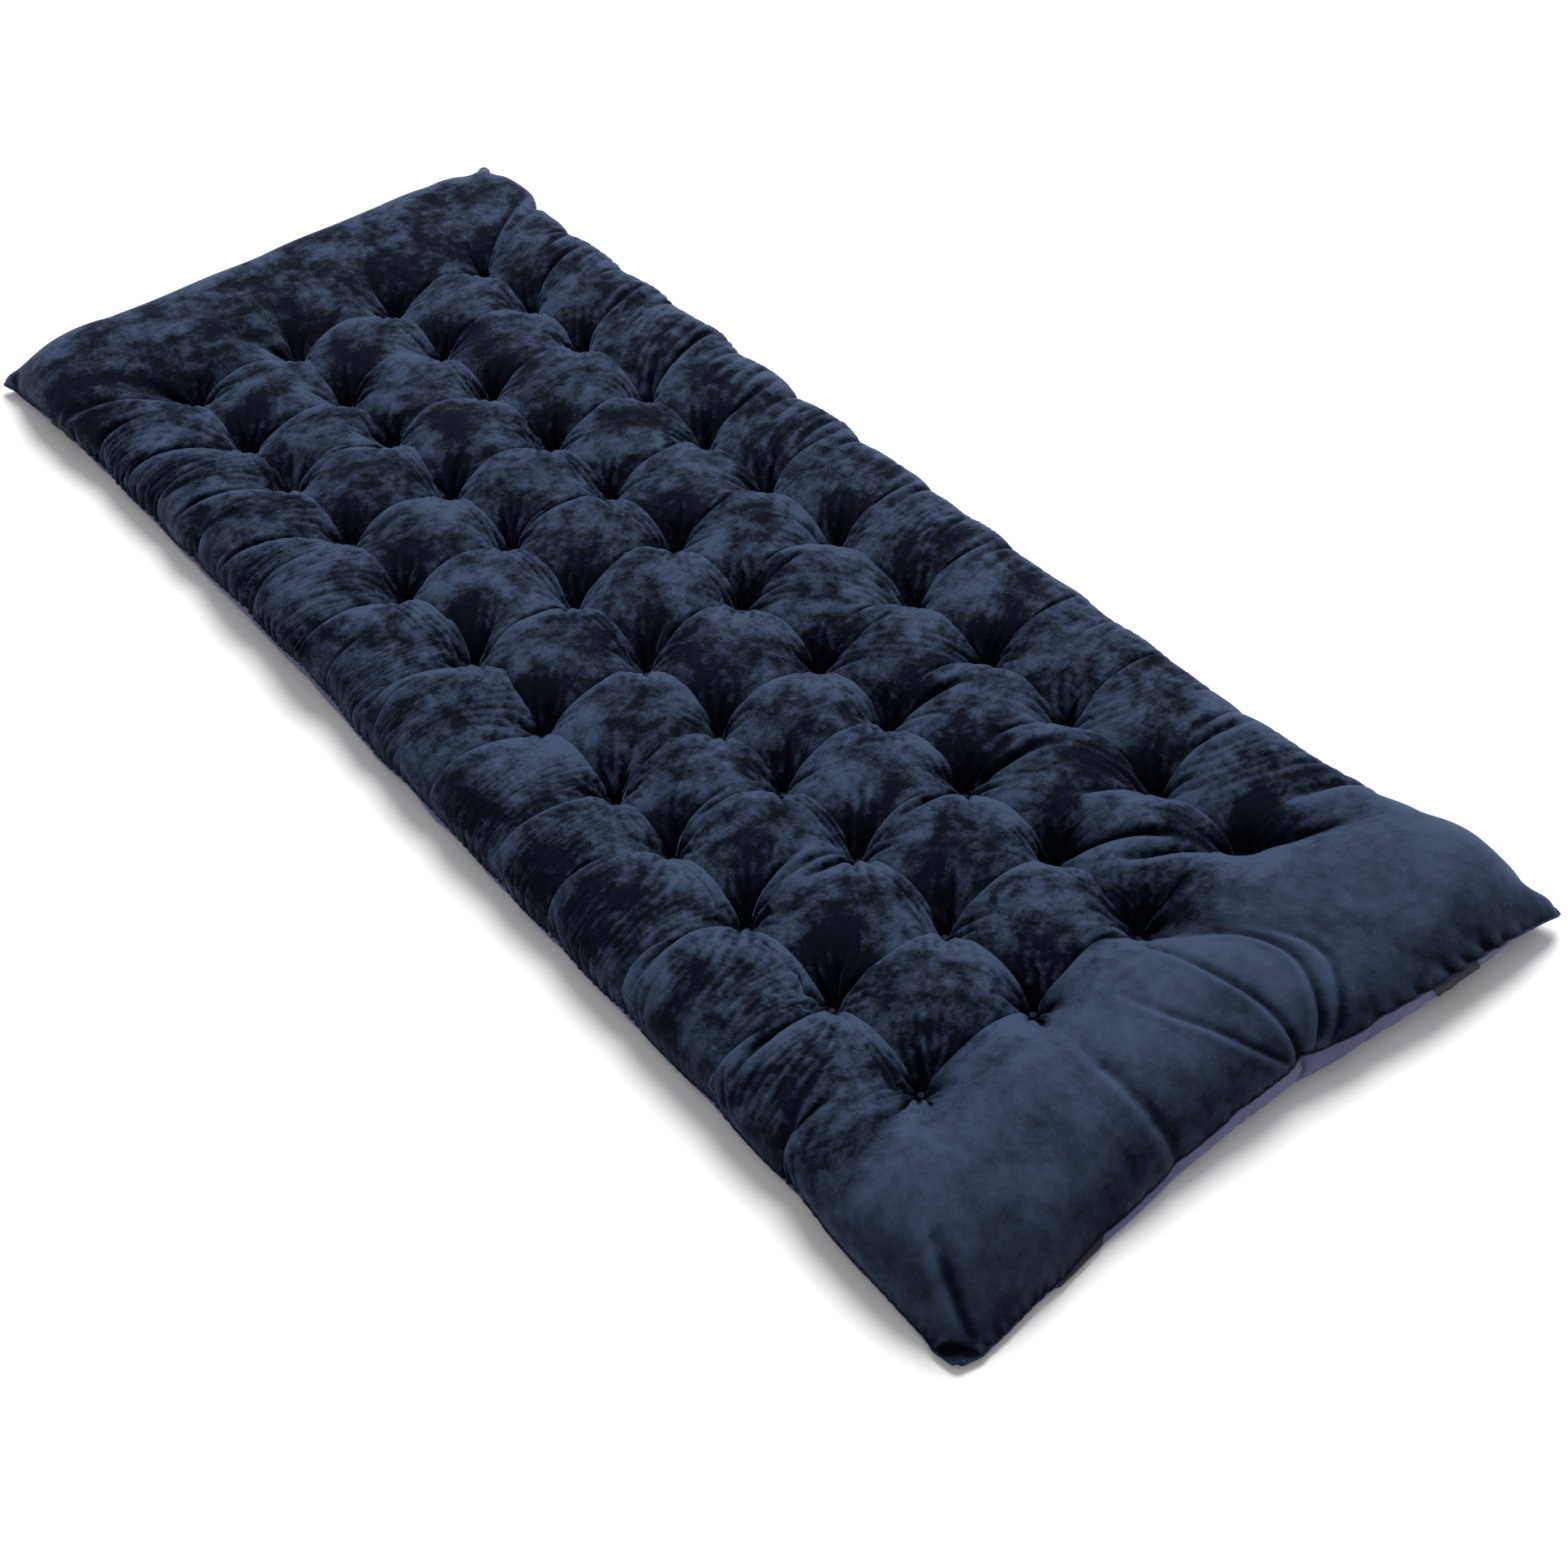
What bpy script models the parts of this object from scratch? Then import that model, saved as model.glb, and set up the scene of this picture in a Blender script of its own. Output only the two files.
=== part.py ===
"""A tufted futon mattress: velvet top, plain underside, fibre wadding, thread ties and corner straps.

It lies on the floor, z = 0, with its head towards +Y. All lengths are in metres. The mattress folds in
half over the line y = FOLD_Y, so each layer is modelled as a head half and a foot half.
"""

import math

import bmesh
import bpy
import numpy as np

# Driving dimensions
LENGTH = 1.90
WIDTH = 0.75
CROWN_Z = 0.083
SEAM_Z = 0.030
PIT_DEPTH = 0.055
SADDLE_DEPTH = 0.024
CLOTH = 0.0012
GAP = 0.0003

# The tufts stand in rows, from the head down: each row's y on the centre line, and how it tilts, dy/dx
ROW_PLACES = (0.676, 0.549, 0.433, 0.293, 0.166, 0.034, -0.102, -0.237, -0.351, -0.473, -0.603, -0.723)
ROW_TILTS = (0.02, 0.04, 0.02, 0.0, 0.0, 0.06, 0.08, 0.06, 0.0, 0.0, 0.0, 0.03)
ROWS = len(ROW_PLACES)

# The columns come a little closer towards the foot
COLUMNS = 4
COLUMN_PITCH_HEAD = 0.144
COLUMN_PITCH_FOOT = 0.134
COLUMNS_CENTRE_HEAD = -0.005
COLUMNS_CENTRE_FOOT = -0.025
FOLD_Y = -0.034

# The edge bows in between the corners, by this much on each side
BOW_LEFT = 0.012
BOW_RIGHT = 0.030
BOW_HEAD = 0.030
BOW_FOOT = 0.026
BOW_POWER = 5

# Lines of the surface along a border, measured in from the edge or out from the nearest tufts
INSET = 0.012
SHOULDER = 0.045
BORDER_CREST = 0.055
HOLE_HALF = 0.002

# The underside: dimples at the ties, and corners that stand off the floor for the straps
DIMPLE = 0.008
CORNER_LIFT = 0.008
CORNER_REACH = 0.21
CORNER_FADE = 0.09

# Ties
TIE_RADIUS = 0.0012
KNOT_RADIUS = 0.0040
KNOT_DOME_RADIUS = 0.0034
KNOT_DOME = 0.0003
KNOT_HEIGHT = 0.0018
KNOT_CLEAR_TOP = 0.0022
KNOT_CLEAR_BOTTOM = 0.0012
TIE_SIDES = 6

# Corner straps: a band across each corner
STRAP_WIDTH = 0.040
STRAP_CENTRE = 0.152
STRAP_THICKNESS = 0.0015
STRAP_SECTIONS = ((0.004, 0.0225), (0.012, 0.0150), (0.045, 0.0040))
STRAP_MIDDLE_Z = 0.0022

# For each kind of line: how full the pad is there, from its edge (0) to its crown (1), how strongly
# a tie holds it down, and how much of the dip between two ties reaches it
FULLNESS_TOP = {"edge": 0.0, "inset": 0.42, "shoulder": 0.86, "crest": 0.96, "tuft": 1.0, "mid": 1.0}
FULLNESS_BOTTOM = {"edge": 0.0, "inset": 0.38, "shoulder": 1.0, "crest": 1.0, "tuft": 1.0, "mid": 1.0}
TIE_HOLD = {"edge": 0.0, "inset": 0.0, "shoulder": 0.10, "crest": 0.25, "tuft": 1.0, "mid": 0.0}
DIP_REACH = {"edge": 0.0, "inset": 0.1, "shoulder": 0.35, "crest": 0.6, "tuft": 1.0, "mid": 1.0}


def clear_scene():
    for old in list(bpy.data.objects):
        bpy.data.objects.remove(old, do_unlink=True)


def cloth_material(name, colour, roughness):
    material = bpy.data.materials.new(name)
    material.use_nodes = True
    shader = material.node_tree.nodes["Principled BSDF"]
    shader.inputs["Base Color"].default_value = (*colour, 1.0)
    shader.inputs["Roughness"].default_value = roughness
    shader.inputs["Metallic"].default_value = 0.0
    return material


def velvet():
    return cloth_material("velvet", (0.012, 0.018, 0.040), 0.75)


def underside_cloth():
    return cloth_material("underside_cloth", (0.070, 0.075, 0.150), 0.90)


def fibre():
    return cloth_material("fibre", (0.80, 0.80, 0.77), 1.0)


def thread():
    return cloth_material("thread", (0.010, 0.013, 0.028), 0.60)


def elastic():
    return cloth_material("elastic", (0.012, 0.012, 0.014), 0.80)


def row_y(row, x):
    """Rows are numbered from 1 at the head."""
    return ROW_PLACES[row - 1] + ROW_TILTS[row - 1] * x


def along(y):
    """0 at the foot edge, 1 at the head edge."""
    return y / LENGTH + 0.5


def column_x(column, y):
    """Columns are numbered from 1 at the left. A half number is the line between two columns."""
    pitch = COLUMN_PITCH_FOOT + (COLUMN_PITCH_HEAD - COLUMN_PITCH_FOOT) * along(y)
    centre = COLUMNS_CENTRE_FOOT + (COLUMNS_CENTRE_HEAD - COLUMNS_CENTRE_FOOT) * along(y)
    return centre + (column - (COLUMNS + 1) / 2) * pitch


def plateau(place, length):
    """1 along the middle of a side, 0 at its corners."""
    return 1 - abs(2 * place / length) ** BOW_POWER


def left_edge(y):
    return -WIDTH / 2 + BOW_LEFT * plateau(y, LENGTH)


def right_edge(y):
    return WIDTH / 2 - BOW_RIGHT * plateau(y, LENGTH)


def foot_edge(x):
    return -LENGTH / 2 + BOW_FOOT * plateau(x, WIDTH)


def head_edge(x):
    return LENGTH / 2 - BOW_HEAD * plateau(x, WIDTH)


def across_lines():
    """The lines that run along the mattress, from left to right: (kind, x as a function of y)."""
    lines = [
        ("edge", left_edge),
        ("inset", lambda y: left_edge(y) + INSET),
        ("shoulder", lambda y: left_edge(y) + SHOULDER),
        ("crest", lambda y: column_x(1, y) - BORDER_CREST),
    ]
    for column in range(1, COLUMNS + 1):
        lines.append(("tuft", lambda y, c=column: column_x(c, y) - HOLE_HALF))
        lines.append(("tuft", lambda y, c=column: column_x(c, y) + HOLE_HALF))
        if column < COLUMNS:
            lines.append(("mid", lambda y, c=column: column_x(c + 0.5, y)))
    lines += [
        ("crest", lambda y: column_x(COLUMNS, y) + BORDER_CREST),
        ("shoulder", lambda y: right_edge(y) - SHOULDER),
        ("inset", lambda y: right_edge(y) - INSET),
        ("edge", right_edge),
    ]
    return lines


def half_lines(rows, side, outer_edge):
    """The lines that run across one half, from the fold outwards: (kind, y as a function of x).

    side is +1 for the head half and -1 for the foot half.
    """
    lines = [("mid", lambda x: FOLD_Y + side * GAP / 2)]
    for row in rows:
        lines.append(("tuft", lambda x, r=row: row_y(r, x) - side * HOLE_HALF))
        lines.append(("tuft", lambda x, r=row: row_y(r, x) + side * HOLE_HALF))
        if row != rows[-1]:
            lines.append(("mid", lambda x, r=row: (row_y(r, x) + row_y(r - side, x)) / 2))
    lines += [
        ("crest", lambda x: row_y(rows[-1], x) + side * BORDER_CREST),
        ("shoulder", lambda x: outer_edge(x) - side * SHOULDER),
        ("inset", lambda x: outer_edge(x) - side * INSET),
        ("edge", outer_edge),
    ]
    return lines


def grid_point(across, lengthwise):
    """Where a line along the mattress meets a line across it. A few rounds settle the curved edges."""
    x, y = 0.0, lengthwise(0.0)
    for _ in range(4):
        x = across(y)
        y = lengthwise(x)
    return x, y


def corner_distance(x, y):
    """How far a point is from its nearest corner, as the sum of its distances from the two edges."""
    from_side = min(x - left_edge(y), right_edge(y) - x)
    from_end = min(y - foot_edge(x), head_edge(x) - y)
    return from_side + from_end


def pull_down(kind_across, kind_along):
    """How far the ties pull the top down at a grid point: the pit at a tie, or the dip between two."""
    a, b = TIE_HOLD[kind_across], TIE_HOLD[kind_along]
    dip = a * (1 - b) * DIP_REACH[kind_along] + b * (1 - a) * DIP_REACH[kind_across]
    return a * b * PIT_DEPTH + dip * SADDLE_DEPTH


def top_height(kind_across, kind_along):
    low = SEAM_Z + GAP / 2 + CLOTH
    full = FULLNESS_TOP[kind_across] * FULLNESS_TOP[kind_along]
    return low + (CROWN_Z - low) * full - pull_down(kind_across, kind_along)


def bottom_height(kind_across, kind_along, x, y):
    high = SEAM_Z - GAP / 2 - CLOTH
    full = FULLNESS_BOTTOM[kind_across] * FULLNESS_BOTTOM[kind_along]
    lift = CORNER_LIFT * (1 - min(max((corner_distance(x, y) - CORNER_REACH) / CORNER_FADE, 0), 1))
    dimple = DIMPLE if kind_across == kind_along == "tuft" else 0.0
    return high * (1 - full) + lift * full + dimple


def surface_grid(lengthwise_lines):
    """The points of one half, with the heights of its top and bottom surfaces and the pull at each."""
    grid = []
    for kind_along, y_of in lengthwise_lines:
        row = []
        for kind_across, x_of in across_lines():
            x, y = grid_point(x_of, y_of)
            row.append(
                {
                    "xy": (x, y),
                    "top": top_height(kind_across, kind_along),
                    "bottom": bottom_height(kind_across, kind_along, x, y),
                    "pull": pull_down(kind_across, kind_along),
                    "kinds": (kind_across, kind_along),
                }
            )
        grid.append(row)
    return grid


def is_hole(corners):
    """A grid cell whose four corners all belong to one tie is the hole that the tie runs through."""
    if any(corner["kinds"] != ("tuft", "tuft") for corner in corners):
        return False
    xs = [corner["xy"][0] for corner in corners]
    return max(xs) - min(xs) < 3 * HOLE_HALF


def cell_triangles(cell, pulls):
    """Two triangles, split so that the corner nearest a tie is in only one of them."""
    a, b, c, d = cell
    if pulls[0] + pulls[2] > pulls[1] + pulls[3]:
        return [(a, b, d), (b, c, d)]
    return [(a, b, c), (a, c, d)]


def layer(name, grid, low, high, material, margin=0):
    """A closed layer between the heights low(point) and high(point), with a hole at each tie.

    margin leaves out that many rings of cells along the outer edge.
    """
    rows = len(grid) - margin
    columns = range(margin, len(grid[0]) - margin)
    index, points = {}, []
    for j in range(rows):
        for i in columns:
            index[j, i] = len(points)
            points.append(grid[j][i])
    count = len(points)
    vertices = [(*p["xy"], high(p)) for p in points] + [(*p["xy"], low(p)) for p in points]
    towards_head = grid[-1][0]["xy"][1] > grid[0][0]["xy"][1]
    upper = []
    for j in range(rows - 1):
        for i in columns[:-1]:
            cell = [(j, i), (j, i + 1), (j + 1, i + 1), (j + 1, i)]
            if not towards_head:
                cell.reverse()
            corners = [grid[a][b] for a, b in cell]
            if not is_hole(corners):
                upper += cell_triangles([index[k] for k in cell], [p["pull"] for p in corners])
    faces = list(upper) + [tuple(v + count for v in reversed(face)) for face in upper]
    faces += walls(upper, count)
    mesh = bpy.data.meshes.new(name)
    mesh.from_pydata(vertices, [], faces)
    drop_loose_points(mesh)
    mesh.materials.append(material)
    obj = bpy.data.objects.new(name, mesh)
    bpy.context.scene.collection.objects.link(obj)
    return obj


def walls(upper, count):
    """A quad under each open edge of the upper surface, joining it to the lower one."""
    edges = {(face[k], face[(k + 1) % 3]) for face in upper for k in range(3)}
    return [(b, a, a + count, b + count) for a, b in edges if (b, a) not in edges]


def drop_loose_points(mesh):
    shape = bmesh.new()
    shape.from_mesh(mesh)
    bmesh.ops.delete(shape, geom=[v for v in shape.verts if not v.link_faces], context="VERTS")
    shape.to_mesh(mesh)
    shape.free()


def top_cover(name, grid, material):
    return layer(name, grid, lambda p: p["top"] - CLOTH, lambda p: p["top"], material)


def bottom_cover(name, grid, material):
    return layer(name, grid, lambda p: p["bottom"], lambda p: p["bottom"] + CLOTH, material)


def wadding(name, grid, material):
    inside = CLOTH + GAP
    return layer(name, grid, lambda p: p["bottom"] + inside, lambda p: p["top"] - inside, material, margin=1)


def tie_mesh(material):
    """A thread with a knot at each end, turned about its own axis. Its origin is at the floor."""
    top = CROWN_Z - PIT_DEPTH + KNOT_CLEAR_TOP
    bottom = DIMPLE - KNOT_CLEAR_BOTTOM
    profile = [
        (KNOT_DOME_RADIUS, bottom - KNOT_HEIGHT + KNOT_DOME),
        (KNOT_RADIUS, bottom),
        (TIE_RADIUS, bottom),
        (TIE_RADIUS, top),
        (KNOT_RADIUS, top),
        (KNOT_DOME_RADIUS, top + KNOT_HEIGHT - KNOT_DOME),
    ]
    angles = np.arange(TIE_SIDES) * math.tau / TIE_SIDES
    vertices = [(r * math.cos(a), r * math.sin(a), z) for r, z in profile for a in angles]
    lowest = len(vertices)
    highest = lowest + 1
    vertices += [(0, 0, bottom - KNOT_HEIGHT), (0, 0, top + KNOT_HEIGHT)]
    last = (len(profile) - 1) * TIE_SIDES
    faces = []
    for k in range(TIE_SIDES):
        n = (k + 1) % TIE_SIDES
        faces.append((lowest, n, k))
        faces.append((highest, last + k, last + n))
        for ring in range(len(profile) - 1):
            start = ring * TIE_SIDES
            faces.append((start + k, start + n, start + TIE_SIDES + n, start + TIE_SIDES + k))
    mesh = bpy.data.meshes.new("tuft_tie")
    mesh.from_pydata(vertices, [], faces)
    mesh.materials.append(material)
    return mesh


def tuft_ties(material):
    mesh = tie_mesh(material)
    for row in range(1, ROWS + 1):
        for column in range(1, COLUMNS + 1):
            x, y = grid_point(lambda y, c=column: column_x(c, y), lambda x, r=row: row_y(r, x))
            tie = bpy.data.objects.new(f"tuft_tie_r{row:02d}_c{column}", mesh)
            tie.location = (x, y, 0)
            bpy.context.scene.collection.objects.link(tie)


def strap_sections():
    """(distance from one edge, distance from the other at the band's middle, height), end to end."""
    ends = [(d, STRAP_CENTRE - d, z) for d, z in STRAP_SECTIONS]
    return ends + [(STRAP_CENTRE / 2, STRAP_CENTRE / 2, STRAP_MIDDLE_Z)] + [
        (b, a, z) for a, b, z in reversed(ends)
    ]


def corner_strap(name, side, end, material):
    """A flat elastic band from the side seam to the end seam. side and end are +1 or -1."""
    edge_x = right_edge if side > 0 else left_edge
    edge_y = head_edge if end > 0 else foot_edge
    reach = STRAP_WIDTH / math.sqrt(2)
    vertices = []
    for from_side, from_end, z in strap_sections():
        for shift in (-reach, reach):
            a, b = from_side, from_end
            if from_side < from_end:
                b += shift
            elif from_end < from_side:
                a += shift
            else:
                a += shift / 2
                b += shift / 2
            x, y = grid_point(lambda y, a=a: edge_x(y) - side * a, lambda x, b=b: edge_y(x) - end * b)
            vertices += [(x, y, z), (x, y, z - STRAP_THICKNESS)]
    faces = [(0, 1, 3, 2)]
    for k in range(0, len(vertices) - 4, 4):
        faces += [
            (k, k + 2, k + 6, k + 4),
            (k + 1, k + 5, k + 7, k + 3),
            (k, k + 4, k + 5, k + 1),
            (k + 2, k + 3, k + 7, k + 6),
        ]
    last = len(vertices) - 4
    faces.append((last, last + 2, last + 3, last + 1))
    mesh = bpy.data.meshes.new(name)
    mesh.from_pydata(vertices, [], faces)
    face_outwards(mesh)
    mesh.materials.append(material)
    obj = bpy.data.objects.new(name, mesh)
    bpy.context.scene.collection.objects.link(obj)


def face_outwards(mesh):
    shape = bmesh.new()
    shape.from_mesh(mesh)
    bmesh.ops.recalc_face_normals(shape, faces=shape.faces)
    shape.to_mesh(mesh)
    shape.free()


def build():
    clear_scene()
    top, under, inside = velvet(), underside_cloth(), fibre()
    halves = (
        ("head", half_lines(range(ROWS // 2, 0, -1), 1, head_edge)),
        ("foot", half_lines(range(ROWS // 2 + 1, ROWS + 1), -1, foot_edge)),
    )
    for half, lines in halves:
        grid = surface_grid(lines)
        top_cover(f"top_cover_{half}", grid, top)
        bottom_cover(f"bottom_cover_{half}", grid, under)
        wadding(f"wadding_{half}", grid, inside)
    tuft_ties(thread())
    band = elastic()
    for end, half in ((1, "head"), (-1, "foot")):
        for side, hand in ((-1, "left"), (1, "right")):
            corner_strap(f"corner_strap_{half}_{hand}", side, end, band)


build()
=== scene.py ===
import math

import bpy
import numpy as np
from mathutils import Matrix, Vector


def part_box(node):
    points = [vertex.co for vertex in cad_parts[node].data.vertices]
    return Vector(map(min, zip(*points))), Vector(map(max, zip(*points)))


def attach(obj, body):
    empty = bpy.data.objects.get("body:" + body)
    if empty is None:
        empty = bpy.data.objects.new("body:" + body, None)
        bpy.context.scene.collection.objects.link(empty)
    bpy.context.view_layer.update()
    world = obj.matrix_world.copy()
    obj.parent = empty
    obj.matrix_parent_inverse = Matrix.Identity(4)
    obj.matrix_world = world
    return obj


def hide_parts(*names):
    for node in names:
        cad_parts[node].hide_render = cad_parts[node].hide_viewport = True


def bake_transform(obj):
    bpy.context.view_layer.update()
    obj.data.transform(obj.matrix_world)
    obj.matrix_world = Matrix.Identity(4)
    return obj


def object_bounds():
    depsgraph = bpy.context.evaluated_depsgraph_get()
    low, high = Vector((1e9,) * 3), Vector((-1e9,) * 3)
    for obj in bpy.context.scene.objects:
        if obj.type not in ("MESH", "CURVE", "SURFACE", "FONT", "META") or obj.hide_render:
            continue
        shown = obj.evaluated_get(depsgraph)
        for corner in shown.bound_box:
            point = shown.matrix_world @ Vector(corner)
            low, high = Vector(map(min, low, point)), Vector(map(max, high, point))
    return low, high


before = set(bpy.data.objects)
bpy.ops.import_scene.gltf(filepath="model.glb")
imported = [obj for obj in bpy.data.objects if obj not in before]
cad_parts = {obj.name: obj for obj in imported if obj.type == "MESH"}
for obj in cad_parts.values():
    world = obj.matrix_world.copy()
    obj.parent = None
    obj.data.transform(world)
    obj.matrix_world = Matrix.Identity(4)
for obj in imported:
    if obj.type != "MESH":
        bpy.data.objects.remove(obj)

CAD_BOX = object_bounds()

# ---------------------------------------------------------------- sizes, in metres
WIDTH = round(CAD_BOX[1][0] - CAD_BOX[0][0], 3)
LENGTH = round(CAD_BOX[1][1] - CAD_BOX[0][1], 3)
HALF_LENGTH = LENGTH / 2
HALF_WIDTH = WIDTH / 2
# The tuft ties, counted from the head and from the left.
ROWS = 12
COLUMNS = 4
# Farther than any two points of the object.
FAR = 9.0
# Keeps a division by a length safe.
TINY = 1e-9

# How far the sewn edge is pulled in from the full rectangle: (place along the edge, inset).
RIGHT_INSETS = ((-0.95, 0.0), (-0.92, 0.010), (-0.84, 0.022), (-0.75, 0.040), (-0.60, 0.050),
                (-0.36, 0.044), (-0.09, 0.040), (0.15, 0.034), (0.42, 0.026), (0.80, 0.026),
                (0.91, 0.012), (0.95, 0.0))
LEFT_INSETS = ((-0.95, 0.0), (-0.90, 0.004), (-0.70, 0.010), (-0.30, 0.010), (0.02, 0.012),
               (0.10, 0.020), (0.20, 0.014), (0.40, 0.017), (0.80, 0.017), (0.91, 0.006), (0.95, 0.0))
FOOT_INSETS = ((-0.375, 0.0), (-0.33, 0.002), (-0.26, 0.010), (-0.19, 0.022), (-0.085, 0.026),
               (0.05, 0.026), (0.13, 0.014), (0.22, 0.005), (0.33, 0.001), (0.375, 0.0))
# Where a pulled fold meets the foot edge: (place, depth), and how wide each notch is.
FOOT_NOTCHES = ((0.049, 0.006), (-0.107, 0.003), (-0.033, 0.002), (0.135, 0.002))
NOTCH_SPREAD = 0.012
HEAD_INSETS = ((-0.375, 0.0), (-0.34, 0.010), (-0.25, 0.030), (0.0, 0.036), (0.25, 0.032),
               (0.34, 0.012), (0.375, 0.0))
# How far each row of ties pulls the side seams in, and over what length.
SCALLOP_LEFT = 0.003
SCALLOP_RIGHT = 0.006
SCALLOP_SPREAD = 0.026
PLAN_ROUNDS = 4
# How high the sewn edge stands above the ground along each side.
FOOT_HEIGHTS = ((-0.375, 0.007), (-0.30, 0.004), (-0.19, 0.005), (-0.13, 0.016), (-0.08, 0.028),
                (0.0, 0.038), (0.22, 0.040), (0.30, 0.036), (0.345, 0.026), (0.375, 0.016))
LEFT_HEIGHTS = ((-0.95, 0.007), (-0.88, 0.005), (-0.74, 0.005), (-0.60, 0.011), (-0.24, 0.012),
                (-0.17, 0.020), (-0.12, 0.013), (-0.07, 0.022), (-0.01, 0.012), (0.08, 0.014),
                (0.19, 0.028), (0.30, 0.026), (0.44, 0.013), (0.90, 0.012))
RIGHT_HEIGHTS = ((-0.95, 0.014), (-0.85, 0.026), (0.0, 0.028), (0.85, 0.028), (0.95, 0.024))
HEAD_HEIGHTS = ((-0.375, 0.012), (-0.30, 0.024), (0.27, 0.028), (0.375, 0.024))
# The radius of each corner's tip. (0, 0) is the left one at the foot, (1, 1) the right one at the head.
CORNER_ROUNDING = {(0, 0): 0.030, (1, 0): 0.018, (0, 1): 0.008, (1, 1): 0.012}
# How far from each corner the filling starts to thin out. It is gone at one part in CORNER_EMPTY of that.
CORNER_FILL = {(0, 0): 0.12, (1, 0): 0.12, (0, 1): 0.12, (1, 1): 0.17}
CORNER_EMPTY = 6


def eased(x, low, high):
    """0 below low, 1 above high, and a smooth rise between them."""
    t = np.clip((x - low) / (high - low), 0.0, 1.0)
    return t * t * (3 - 2 * t)


def along(x, pairs):
    """A smooth curve through (place, value) pairs."""
    value = np.full_like(x, pairs[0][1])
    for (x0, v0), (x1, v1) in zip(pairs, pairs[1:]):
        value = value + (v1 - v0) * eased(x, x0, x1)
    return value


def tie_name(row, column):
    return f"tuft_tie_r{row:02d}_c{column}"


def tie_place(row, column):
    """The plan centre of a tuft tie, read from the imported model."""
    low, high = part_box(tie_name(row, column))
    return (low[0] + high[0]) / 2, (low[1] + high[1]) / 2


def tie_places():
    """Every tie's plan centre, row by row from the head."""
    return np.array([tie_place(row, column)
                     for row in range(1, ROWS + 1) for column in range(1, COLUMNS + 1)])


def pulls(y, column):
    """1 where a row of ties pulls the side seam in beside the given column, 0 between the rows."""
    total = np.zeros_like(y)
    for row in range(1, ROWS + 1):
        total += np.exp(-((y - tie_place(row, column)[1]) / SCALLOP_SPREAD) ** 2)
    return total


def seam_plan(s, t):
    """The plan place of the cloth's point (s, t). s runs 0 to 1 from the left, t from the foot.

    The sides' places depend on y and the ends' on x, so a few rounds bring the two together.
    """
    y = (t - 0.5) * LENGTH
    for _ in range(PLAN_ROUNDS):
        left = -HALF_WIDTH + along(y, LEFT_INSETS) + SCALLOP_LEFT * pulls(y, 1)
        right = HALF_WIDTH - along(y, RIGHT_INSETS) - SCALLOP_RIGHT * pulls(y, COLUMNS)
        x = left + (right - left) * s
        foot = -HALF_LENGTH + along(x, FOOT_INSETS)
        for place, depth in FOOT_NOTCHES:
            foot = foot + depth * np.exp(-((x - place) / NOTCH_SPREAD) ** 2)
        head = HALF_LENGTH - along(x, HEAD_INSETS)
        y = foot + (head - foot) * t
    return round_corners(x, y, s, t)


def round_corners(x, y, s, t):
    """The plan with each corner's tip rounded."""
    for (right, head), radius in CORNER_ROUNDING.items():
        side = (1 - s if right else s) * WIDTH
        end = (1 - t if head else t) * LENGTH
        u = np.clip(1 - side / radius, 0, 1)
        v = np.clip(1 - end / radius, 0, 1)
        turn_x, turn_y = (1 if right else -1), (1 if head else -1)
        x = x + turn_x * radius * u * (np.sqrt(1 - v * v / 2) - 1)
        y = y + turn_y * radius * v * (np.sqrt(1 - u * u / 2) - 1)
    return x, y


def seam_height(x, y, s, t):
    """The height of the sewn edge at the border, and a blend of the sides inside it."""
    to_left, to_right = 1 / (s + 1e-3), 1 / (1 - s + 1e-3)
    to_foot, to_head = 1 / (t + 1e-3), 1 / (1 - t + 1e-3)
    total = to_left + to_right + to_foot + to_head
    z = to_left * along(y, LEFT_HEIGHTS) + to_right * along(y, RIGHT_HEIGHTS)
    z = z + to_foot * along(x, FOOT_HEIGHTS) + to_head * along(x, HEAD_HEIGHTS)
    return z / total


# ---------------------------------------------------------------- cloth
# The share of smoothing in a round, the passes over the threads in a round of the solver, how much
# of its speed the cloth keeps, and the most that it may have.
SMOOTHING = 0.2
PASSES = 3
KEEP_SPEED = 0.9
SPEED_LIMIT = 0.003
WAVE_COUNT = 14


def laplace(field):
    """The difference between each grid point and its four neighbours."""
    out = np.zeros_like(field)
    out[..., 1:-1, :] += field[..., 2:, :] + field[..., :-2, :] - 2 * field[..., 1:-1, :]
    out[..., :, 1:-1] += field[..., :, 2:] + field[..., :, :-2] - 2 * field[..., :, 1:-1]
    return out


def grid_normals(points):
    """Unit normals of a grid of points, upwards where it lies flat."""
    across = np.empty_like(points)
    ahead = np.empty_like(points)
    across[:, :, 1:-1] = points[:, :, 2:] - points[:, :, :-2]
    across[:, :, 0] = points[:, :, 1] - points[:, :, 0]
    across[:, :, -1] = points[:, :, -1] - points[:, :, -2]
    ahead[:, 1:-1] = points[:, 2:] - points[:, :-2]
    ahead[:, 0] = points[:, 1] - points[:, 0]
    ahead[:, -1] = points[:, -1] - points[:, -2]
    normal = np.cross(across, ahead, axis=0)
    return normal / np.maximum(np.linalg.norm(normal, axis=0), 1e-12)


def smoothed(points, rounds):
    """The same grid with its small shapes taken out."""
    out = points.copy()
    for _ in range(rounds):
        out += SMOOTHING * laplace(out)
    return out


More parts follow.
